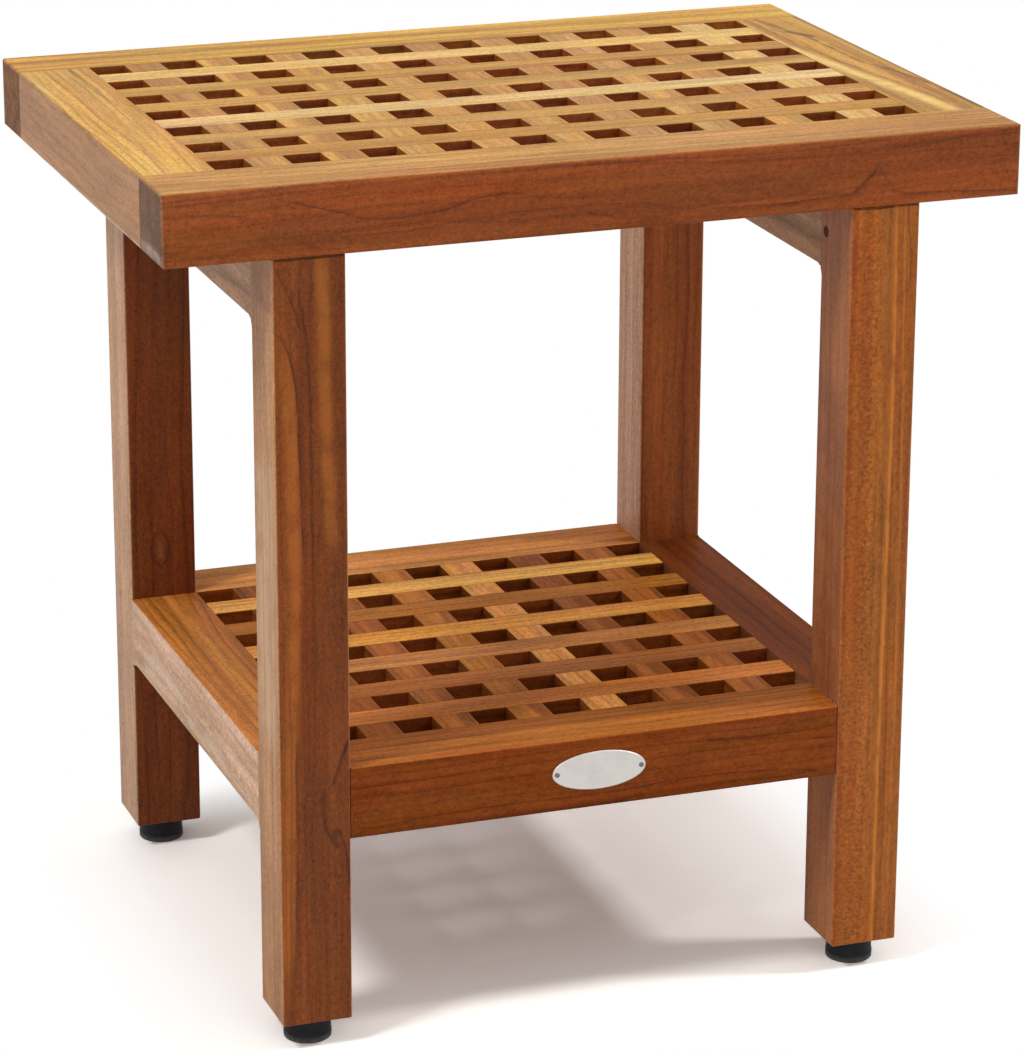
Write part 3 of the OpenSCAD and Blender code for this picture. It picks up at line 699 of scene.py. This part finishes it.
leg(
    "front_left", tone(0.03, 0.6), tone(0.3, 1.05, 0.36, 0.1), heart=(50, 40), veins=0.15, rings=0.25,
    bands=0.6,
    marks=[
        (AMBER, 0.32, "zx", {40: -168.5, 100: -167, 170: -165.5, 265: -162, 368: -165.5}, 6.5),
        (AMBER, 0.32, "zx", {275: -142.5, 330: -145, 380: -145.5, 420: -146.5}, 6.5),
        (EMBER, 0.45, "zx", {0: -165.8, 90: -166.3, 150: -165, 210: -166}, 0.9),
        (EMBER, 0.35, "zx", {0: -168.8, 100: -169, 200: -168.5, 330: -169}, 0.8),
        (EMBER, 0.45, "zx", {20: -158.5, 120: -158, 230: -159}, 0.9),
        (EMBER, 0.4, "zx", {0: -153.5, 90: -153, 200: -152.6, 300: -153.5}, 0.9),
        (PALE, 0.55, "zy", {165: -142, 240: -142, 312: -142}, 34.0),
        (EMBER, 0.26, "zy", {14: -142, 50: -142, 100: -142}, 34.0),
        (INK, 0.7, "zx", {270: -157.5, 300: -158.5, 348: -160, 364: -162, 377: -166, 383: -171}, 1.2, 3),
        # Painted shade: the top of the outer side is darker under the seat.
        (EMBER, 0.38, "zy", {392: -142, 406: -142, 420: -142}, 34.0),
        (INK, 0.45, "zx", {260: -152.5, 296: -152.8, 348: -153.2, 368: -154, 400: -158}, 1.6),
        (INK, 0.45, "zx", {385: -158, 400: -163, 415: -170}, 1.2, 4),
        (INK, 0.9, "zx", {86: -135.2, 100: -135.8, 108: -136.9, 119: -140.2}, 1.8),
        (INK, 0.95, "zx", {110: -140.5, 116: -145.0, 120: -146.6, 128: -148.6, 140: -149.0}, 1.8, 3),
        (INK, 0.8, "zx", {110: -142.0, 115: -142.3, 120: -142.0}, 4.0),
        (INK, 0.9, "zx", {144: -143.5, 151: -141.5, 158: -138.8, 168: -135.2}, 1.8, 3),
        (INK, 0.6, "zx", {60: -163.4, 84: -163.2, 112: -162.4, 140: -162.5, 170: -162.0}, 1.3, 3),
        (EMBER, 0.45, "zx", {20: -141, 60: -140, 110: -138}, 1.0, 3),
        (INK, 0.3, "zy", {10: -150, 120: -149, 240: -151, 330: -149}, 0.8, 3),
        (INK, 0.3, "zy", {150: -138, 260: -137, 400: -139}, 0.8, -3),
        # Painted shadow in the gap where the leg meets the rail above.
        (INK, 0.9, "xz", {-171: 419.4, -134: 419.4}, 1.1),
    ],
)
leg(
    "front_right", tone(0.15, 0.95), tone(0.1, 1.06, 0.17, 0.3), heart=(45, 50), veins=0.15, bands=0.35,
    mottle=0.85, flecks=("x", 147, 155),
    marks=[
        (EMBER, 0.42, "zy", {150: -142, 235: -142, 320: -142}, 34.0),
        # Painted shadow in the gap where the leg meets the rail above.
        (INK, 0.9, "xz", {134: 419.4, 171: 419.4}, 1.1),
        (RUST, 0.45, "zx", {0: 138, 150: 139, 300: 138, 420: 139}, 16.0),
        (AMBER, 0.75, "zx", {0: 157, 150: 157.8, 317: 159.2, 420: 158.2}, 1.8, -3),
        (INK, 0.5, "zx", {376: 167, 396: 166.9, 414: 165, 420: 164.5}, 0.8, 2),
        (EMBER, 0.3, "zx", {0: 162, 120: 161.5, 260: 163.5, 420: 162}, 0.9, -3),
        (AMBER, 0.35, "zx", {0: 165, 200: 166, 420: 163}, 1.4),
        (EMBER, 0.35, "zx", {0: 136, 150: 136, 300: 135.5, 420: 136}, 2.2),
    ],
)
leg(
    "back_left", tone(0.0, 0.52), tone(0.2, 1.12, 0.64, 0.2), heart=(60, 30), veins=0.1, bands=0.4,
    marks=[
        (INK, 0.65, "zx", {170: -154.5, 174: -150.6, 180: -149.4, 186: -150.6, 191: -154.5}, 1.8),
        (INK, 0.5, "zx", {170: -154.5, 174: -158.4, 180: -159.6, 186: -158.4, 191: -154.5}, 1.8),
        (PALE, 0.12, "zx", {175: -154.6, 180: -154.4, 185: -154.6}, 3.4),
    ],
)
# The pale flank tone lifts the shade on this leg's inner side: painted light.
leg("back_right", tone(0.04, 0.89), tone(0.0, 1.7, 0.65, 0.2), heart=(55, 45), veins=0.2)
for side in ("left", "right"):
    dress(
        f"apron_{side}", "y", tone(0.0, 0.8), tone(0.32, 0.88, 0.5, -0.4), tone(0.3),
        heart=(70, 30), hue=1.8,
    )

# %% Shelf
DIM_IOR = 1.1  # in the shade under the seat the wood hardly shines
SHELF_EDGES = dict(upright=0.2, level=0.3, end=0.3)
dress(
    "shelf_front_rail", "x", tone(0.01, 0.66), tone(0.1, 0.8), tone(0.17, 1.27, 0.0, -0.6),
    edges=SHELF_EDGES, heart=(45, 30), veins=0.1, ior=DIM_IOR, bands=0.45,
    marks=[
        (INK, 0.55, "xz", {-132: 116, -108: 119.5, -54: 121.5, 0: 121, 56: 123, 79: 122.5, 131: 114.5},
         0.9, -3),
        (INK, 0.35, "xz", {60: 143, 95: 139, 131: 135}, 0.8, 3),
        (EMBER, 0.4, "xy", {-130: -140, -40: -138, 60: -142, 131: -139}, 0.9, 4),
    ],
)
dress(
    "shelf_back_rail", "x", tone(0.0, 0.7), tone(0.1, 0.8), tone(0.3, 1.74, 0.11),
    edges=SHELF_EDGES, heart=(50, 40), ior=DIM_IOR,
)
dress(
    "shelf_left_rail", "y", tone(0.0, 0.8), tone(0.0, 1.4, 0.84, 0.3), tone(0.24, 1.33, 0.02),
    edges=SHELF_EDGES, heart=(55, 30), rings=0.8, bands=0.9, ior=1.15,
    marks=[
        (AMBER, 0.45, "yx", {-120: -146, 0: -144, 122: -147}, 4.0, 5),
        (INK, 0.4, "yx", {-120: -160, 0: -157, 122: -159}, 1.0, 4),
        (CHALK, 0.4, "yz", {20: 128, 60: 131, 95: 126}, 9.0),
        (CHALK, 0.35, "yz", {-60: 122, -20: 124, 10: 121}, 6.0),
    ],
)
dress(
    "shelf_right_rail", "y", tone(0.0, 0.7), tone(0.1, 0.8, 0.2), tone(0.02, 0.65),
    edges=SHELF_EDGES, heart=(45, 40), ior=DIM_IOR,
)
# Each slat's tone, from the back to the front and from left to right
SHELF_LONG = ((0.74, 1.65, 0.16), (0.27, 1.08), (0.48, 1.72, 0.06),
              (0.30, 1.67, 0.13), (0.19, 1.27, 0.06), (0.18, 1.98, 0.05))
SHELF_CROSS = ((0.12, 0.85), (0.12, 1.32, 0.03), (0.24, 1.3, 0.01),
               (0.38, 1.76, 0.12), (0.11, 1.04, 0.03), (0.14, 1.23, 0.02))
SHELF_SIDES = (tone(0.0, 0.7), tone(0.1, 0.8))
for i, (long_look, cross_look) in enumerate(zip(SHELF_LONG, SHELF_CROSS), start=1):
    dress(
        f"shelf_slat_{i}", "x", *SHELF_SIDES, tone(*long_look),
        heart=(40 + 12 * i, 20), ior=DIM_IOR,
    )
    dress(
        f"shelf_cross_slat_{i}", "y", *SHELF_SIDES, tone(*cross_look, even=-0.6),
        heart=(60 + 9 * i, 50), ior=DIM_IOR, rings=0.3,
    )

# %% [markdown]
# ## Turned pieces
# The feet and the nails of the plate were turned or moulded round an axis. Such a piece is one
# profile carried round that axis: a grid whose rows are the points of the profile and whose columns
# are the angles. A screw is the same grid with a radius that also climbs with the angle.

# %% Surfaces of revolution
CREASE = 38  # edges stay sharp from this angle on, in degrees


def skin(name, rings, material, body, stands_for):
    """Makes a closed mesh of rings, an array of rows by columns by 3, whose first and last rows close
    at a pole, links it to the scene, makes it ride on body and hides the node stands_for."""
    rows, columns = rings.shape[:2]
    poles = np.array([rings[0].mean(axis=0), rings[-1].mean(axis=0)])
    points = np.concatenate([rings.reshape(-1, 3), poles])
    here = np.arange(columns)
    after = (here + 1) % columns
    base = (np.arange(rows - 1) * columns)[:, None]
    quads = np.stack([base + here, base + after, base + columns + after, base + columns + here], axis=-1)
    pole, top_row = rows * columns, (rows - 1) * columns
    foot = np.stack([np.full(columns, pole), after, here], axis=-1)
    cap = np.stack([np.full(columns, pole + 1), top_row + here, top_row + after], axis=-1)
    mesh = bpy.data.meshes.new(name)
    mesh.from_pydata(points.tolist(), [], quads.reshape(-1, 4).tolist() + foot.tolist() + cap.tolist())
    mesh.polygons.foreach_set("use_smooth", np.ones(len(mesh.polygons), bool))
    mesh.materials.append(material)
    piece = bpy.data.objects.new(name, mesh)
    bpy.context.scene.collection.objects.link(piece)
    piece.modifiers.new("crease", "EDGE_SPLIT").split_angle = math.radians(CREASE)
    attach(piece, body)
    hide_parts(stands_for)
    print(name, "of", len(mesh.polygons), "faces")


def turned(profile, columns=64):
    """Profile of (radius, height) in mm to rings round the Z axis, in metres: x is the radius times the
    cosine of the angle, y is the radius times its sine, and z is the height."""
    radius, height = np.array(profile, float).T * MM
    angle = np.linspace(0, 2 * math.pi, columns, endpoint=False)
    flat = np.outer(radius, np.cos(angle)), np.outer(radius, np.sin(angle))
    return np.stack([*flat, np.repeat(height[:, None], columns, axis=1)], axis=-1)


def arc(middle, radius, start, end, steps=6):
    """Points of a round from angle start to end in degrees, about middle, for a profile."""
    angle = np.radians(np.linspace(start, end, steps))
    return [(middle[0] + radius * math.cos(a), middle[1] + radius * math.sin(a)) for a in angle]


# %% [markdown]
# ## Rubber, zinc, brass and steel
# The feet are black rubber with a dusty bloom, their screws are zinc plated, the sleeves that hold
# the screws are brass, and the plate is brushed steel. Each is a base colour, broken up by noise at
# the scale at which the real one varies.

# %% Rubber and metals
def rubber():
    """Black moulded rubber, with a grey bloom in patches, dust towards the floor and a fine grain."""
    material, tree, principled = shader("black_rubber", IOR=1.3)
    place = own_point(tree)
    height = split(tree, place)[2]
    bloom = noise(tree, place, (90, 90, 260), 3.0, 0.6)
    near_floor = ramp(tree, height, 0.5 * MM, 4.5 * MM, 0.5, 0.0)
    dust = times(tree, near_floor, noise(tree, place, (700,) * 3))
    colour = mix(tree, ramp(tree, bloom, 0.35, 0.7), (0.003, 0.003, 0.006, 1), (0.012, 0.012, 0.018, 1))
    colour = mix(tree, dust, colour, (0.30, 0.28, 0.25, 1))
    dull = times(tree, bloom, 0.3, 0.38)
    surface(tree, principled, colour, dull, noise(tree, place, (2600,) * 3), depth=0.05, strength=0.4)
    return material


def metal(name, base, tarnish, scale, dull, stretch_by=(1, 1, 1), depth=0.02):
    """A metal of base colour with patches of tarnish, scale of them to a metre, and fine lines that
    stretch_by draws out into brush marks."""
    material, tree, principled = shader(name, Metallic=1.0)
    place = own_point(tree)
    spots = ramp(tree, noise(tree, place, (scale,) * 3, 3.0, 0.6), 0.4, 0.75)
    lines = noise(tree, place, tuple(scale * part for part in stretch_by), 3.0, 0.6)
    colour = mix(tree, times(tree, spots, 0.6), paint(base), paint(tarnish))
    shine = swing(tree, lines, 0.3, 1.0)
    colour = shaded(tree, colour, shine)
    rough = times(tree, spots, 0.1, dull - 0.12)
    rough = times(tree, lines, 0.25, rough)
    surface(tree, principled, colour, rough, lines, depth, strength=0.3)
    return material


RUBBER = rubber()
ZINC = metal("zinc_plate", (0.62, 0.63, 0.63), (0.48, 0.46, 0.38), 300, 0.34)
BRASS = metal("brass", (0.66, 0.46, 0.20), (0.38, 0.25, 0.11), 220, 0.36)
STEEL = metal("brushed_steel", (0.66, 0.62, 0.585), (0.58, 0.545, 0.51), 90, 0.42, (0.6, 40, 40), 0.015)
NAIL = metal("dull_steel", (0.20, 0.195, 0.19), (0.12, 0.11, 0.10), 500, 0.42)

# %% [markdown]
# ## Levelling feet
# Each foot is a threaded rod with a flat disc at its lower end, and the rubber is moulded round that
# disc. The rubber has a base ring, a hair wider than its body, and grooves underneath to keep it from
# slipping on wet tiles. The rod is a real screw: when the foot is wound out, its thread shows.

# %% Sizes of a foot, in mm
pad_low, pad_high = 1000 * np.array(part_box("foot_pad_front_left"))
stem_low, stem_high = 1000 * np.array(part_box("foot_stem_front_left"))
PAD_TOP, PAD_R = pad_high[2], (pad_high - pad_low)[0] / 2
STEM_LOW, STEM_TOP = stem_low[2], stem_high[2]
DISC_R = (stem_high - stem_low)[0] / 2
DISC_T = 3.0
SCREW_R = 4.0
PITCH_MM = 1.25
THREAD_DEPTH = 0.6
SLACK = 0.05  # room between the rubber and the stem

# %% Rubber pad
GROOVES = (4.5, 7.5)  # middle radius of each groove underneath
GROOVE_W, GROOVE_DEPTH = 0.9, 0.6
BASE_RING_H = 4.2
BODY_R = PAD_R - 0.25


def pad_profile():
    """Half section of the pad, from the middle of its underside, up the side and down the bore."""
    points = [(2.0, 0.5), (2.6, 0.0)]
    for middle in GROOVES:
        inner, outer = middle - GROOVE_W / 2, middle + GROOVE_W / 2
        points += [(inner, 0.0), (inner + 0.2, GROOVE_DEPTH), (outer - 0.2, GROOVE_DEPTH), (outer, 0.0)]
    points += arc((PAD_R - 1.0, 1.0), 1.0, -90, 0)
    points += arc((PAD_R - 0.2, BASE_RING_H - 0.3), 0.2, 0, 90, 4)
    points += [(BODY_R, BASE_RING_H + 0.1), (BODY_R - 0.12, 8.0), (BODY_R, PAD_TOP - 1.3)]
    points += arc((BODY_R - 1.2, PAD_TOP - 1.2), 1.2, 10, 90)
    points += [(SCREW_R + 0.5, PAD_TOP), (SCREW_R + SLACK, PAD_TOP - 0.4)]
    pocket_r = DISC_R + SLACK
    points += [(SCREW_R + SLACK, STEM_LOW + DISC_T + SLACK), (pocket_r, STEM_LOW + DISC_T + SLACK)]
    return points + [(pocket_r, STEM_LOW - SLACK), (1.0, STEM_LOW - SLACK)]


# %% Threaded stem
def stem_rings(columns=48, rows_per_turn=10):
    """Rings of a disc and a screw. The screw's radius is its outer radius less the thread's depth times
    a wave of height over pitch minus angle over a full turn. The wave is a triangle, cut flat at the
    crest and the root, and dies out near both ends."""
    low, high = STEM_LOW + DISC_T, STEM_TOP - 1.0
    count_rows = int((high - low) / PITCH_MM * rows_per_turn)
    height = np.linspace(low + 0.4, high, count_rows)[:, None]
    angle = np.linspace(0, 2 * math.pi, columns, endpoint=False)[None, :]
    phase = (height / PITCH_MM - angle / (2 * math.pi)) % 1.0
    wave = np.clip(np.abs(2 * phase - 1) * 1.35 - 0.1, 0, 1)
    fading = np.clip((height - low - 0.4) / 1.5, 0, 1) * np.clip((high - height) / 1.0, 0, 1)
    radius = (SCREW_R - THREAD_DEPTH * wave * fading) * MM
    flat = radius * np.cos(angle), radius * np.sin(angle)
    screw = np.stack([*flat, np.broadcast_to(height * MM, radius.shape)], axis=-1)
    disc = [(1.0, STEM_LOW), (DISC_R - 0.3, STEM_LOW), (DISC_R, STEM_LOW + 0.3), (DISC_R, low - 0.3)]
    disc += [(DISC_R - 0.3, low), (SCREW_R, low)]
    tip = [(SCREW_R - 0.9, STEM_TOP), (1.0, STEM_TOP)]
    return np.concatenate([turned(disc, columns), screw, turned(tip, columns)])


# %% Four feet
for corner in CORNERS:
    axis = box_of(f"foot_stem_{corner}")[0] * [1, 1, 0]
    skin(f"rubber_pad_{corner}", turned(pad_profile()) + axis, RUBBER, f"pad_{corner}",
         f"foot_pad_{corner}")
    skin(f"threaded_stem_{corner}", stem_rings() + axis, ZINC, f"stem_{corner}",
         f"foot_stem_{corner}")

inserts = ease("foot_inserts", width=1.3)
inserts.data.materials.clear()
inserts.data.materials.append(BRASS)

# %% [markdown]
# ## Plate and nails
# An oval steel plate is nailed to the shelf's front rail. It is bare and brushed along its length, and
# inside its narrow bevel runs a low rim. Two dark domed nails hold it.

# %% Plate
plate_middle, plate_half = box_of("nameplate")
PLATE_A, PLATE_B = 1000 * plate_half[[0, 2]]
PLATE_T = 2000 * plate_half[1]
ON_RAIL = plate_middle + plate_half * [0, 1, 0]
OUTWARD = np.array([[1, 0, 0], [0, 0, 1], [0, -1, 0]])  # turns what was made along Z to stand along -Y


def plate_rings(columns=128):
    """Rings of an oval plate: x is the long half axis, less an inset, times the cosine, z the short one
    likewise times the sine, and the height over the wood follows the inset, from the back round the
    side, the bevel and the rim to the field."""
    edge = [(0.5, 0.0), (0.1, 0.05), (0.0, 0.2), (0.0, PLATE_T - 0.5), (0.1, PLATE_T - 0.36)]
    edge += [(0.55, PLATE_T - 0.02), (0.65, PLATE_T), (1.15, PLATE_T)]
    edge += [(1.3, PLATE_T - 0.03), (1.5, PLATE_T - 0.05)]
    shares = np.linspace(0.05, 0.9, 8)
    rows = [(PLATE_A * q, PLATE_B * q, 0.0) for q in shares]
    rows += [(PLATE_A - inset, PLATE_B - inset, height) for inset, height in edge]
    rows += [(PLATE_A * q, PLATE_B * q, PLATE_T - 0.05) for q in shares[::-1] * 0.9]
    long_half, short_half, height = np.array(rows).T[:, :, None] * MM
    angle = np.linspace(0, 2 * math.pi, columns, endpoint=False)[None, :]
    shape = (len(rows), columns)
    flat = long_half * np.cos(angle), short_half * np.sin(angle)
    return np.stack([*flat, np.broadcast_to(height, shape)], axis=-1)


skin("oval_plate", plate_rings() @ OUTWARD + ON_RAIL, STEEL, "frame", "nameplate")

# %% Nails
pins_middle, pins_half = box_of("nameplate_pins")
plate_front = (plate_middle - plate_half)[1]
HEAD_R = 1000 * pins_half[2]
PIN_LEN = 2000 * pins_half[1]
HEAD_T = 1000 * (plate_front - (pins_middle - pins_half)[1])
HEAD_RIM = 0.15  # height of the head at its edge
SHANK_R = 0.7
POINT_LEN = 1.6
NAIL_X = pins_half[0] - HEAD_R * MM  # how far each stands from the plate's middle, in m


def nail_profile():
    """Half section of a nail: point, shank, the flat under the head, and a dome like an ellipse."""
    angle = np.linspace(0, 0.48 * math.pi, 9)
    dome = [(HEAD_R * math.cos(a), HEAD_RIM + (HEAD_T - HEAD_RIM) * math.sin(a)) for a in angle]
    tip = HEAD_T - PIN_LEN
    return [(0.1, tip), (SHANK_R, tip + POINT_LEN), (SHANK_R, 0.0), (HEAD_R, 0.0), *dome]


for side, sign in (("left", -1), ("right", 1)):
    place = np.array([plate_middle[0] + sign * NAIL_X, plate_front, plate_middle[2]])
    skin(f"plate_nail_{side}", turned(nail_profile(), 32) @ OUTWARD + place, NAIL, "frame",
         "nameplate_pins")

# %% [markdown]
# ## Pegs
# A peg is a dowel of dark teak, cut flush and seen end on, so it soaks up more oil than the wood
# round it and shows as a dark disc.

# %% Pegs
for name in ("apron_pegs", "shelf_pegs", "leg_top_pegs"):
    dress(name, "x", tone(0.0, 0.35), tone(0.0, 0.42, 0.1), tone(0.2, 0.5), bands=0.3, rings=0.8)

# %% [markdown]
# ## The studio
# A pale floor runs out to white, and the world is white wherever the camera or a reflection sees it.
# A lamp hangs high on each side. Each throws its own soft shadow of the shelf, and the two overlap
# under the middle of the bench.

# %% Floor
FLOOR_TRUE = (0.90, 0.88, 0.86, 1)  # what bounces off it
FLOOR_SEEN = (1.36, 1.32, 1.27, 1)  # what the camera sees, as bright as a white card
STAND = (0.165, 0.150, 0.0)  # how far from the middle the shadow is kept, in x and y
RUN_OUT = 0.075  # and over how far it runs out to white


def floor_material():
    """Pale floor that keeps the bench's shadow under it and runs out to white beyond its legs."""
    material, tree, principled = shader("floor_pale", Roughness=0.9, Specular_IOR_Level=0.1)
    place = own_point(tree)
    beyond = move(tree, "SUBTRACT", move(tree, "ABSOLUTE", place), STAND)
    beyond = move(tree, "MAXIMUM", beyond, (0, 0, 0))
    away = length(tree, beyond)
    path = add(tree, "ShaderNodeLightPath", {}).outputs
    fill(tree, principled, {"Base Color": mix(tree, path["Is Camera Ray"], FLOOR_TRUE, FLOOR_SEEN)})
    seen = calc(tree, "ADD", path["Is Camera Ray"], path["Is Glossy Ray"], clamp=True)
    white = add(tree, "ShaderNodeEmission", {"Color": (1, 1, 1, 1), "Strength": 1.0})
    share = times(tree, ramp(tree, away, 0.0, RUN_OUT), seen)
    blend = add(tree, "ShaderNodeMixShader", {0: share, 1: principled.outputs[0], 2: white.outputs[0]})
    tree.links.new(blend.outputs[0], tree.nodes["Material Output"].inputs["Surface"])
    return material


FLOOR_HALF = 8.0
floor_mesh = bpy.data.meshes.new("floor")
floor_corners = [(x * FLOOR_HALF, y * FLOOR_HALF, 0) for x, y in ((-1, -1), (1, -1), (1, 1), (-1, 1))]
floor_mesh.from_pydata(floor_corners, [], [(0, 1, 2, 3)])
floor_mesh.materials.append(floor_material())
floor = bpy.data.objects.new("floor", floor_mesh)
bpy.context.scene.collection.objects.link(floor)

# %% World and lamps
SKY_LIGHT = 0.64  # strength of the world as light; the camera and reflections see 1
LAMP_POWER = 25
LAMP_AIM = (0, 0, 0.2)

world = bpy.data.worlds.new("studio")
bpy.context.scene.world = world
world.use_nodes = True
sky = world.node_tree
path = add(sky, "ShaderNodeLightPath", {}).outputs
seen = calc(sky, "ADD", path["Is Camera Ray"], path["Is Glossy Ray"], clamp=True)
seen = calc(sky, "ADD", seen, path["Is Transmission Ray"], clamp=True)
strength = times(sky, seen, 1.0 - SKY_LIGHT, SKY_LIGHT)
fill(sky, sky.nodes["Background"], {"Color": (1, 1, 1, 1), "Strength": strength})


def lamp(name, place, size):
    """A square area lamp at place, turned to face the bench; a smaller one gives a crisper shadow."""
    data = bpy.data.lights.new(name, "AREA")
    data.shape = "SQUARE"
    data.size = size
    data.energy = LAMP_POWER
    made = bpy.data.objects.new(name, data)
    made.location = place
    made.rotation_euler = (Vector(LAMP_AIM) - Vector(place)).to_track_quat("-Z", "Y").to_euler()
    bpy.context.scene.collection.objects.link(made)


lamp("left_lamp", place=(-1.55, -0.68, 2.25), size=0.42)
lamp("right_lamp", place=(2.10, -0.68, 2.10), size=0.30)
bpy.context.scene.view_settings.view_transform = "Standard"
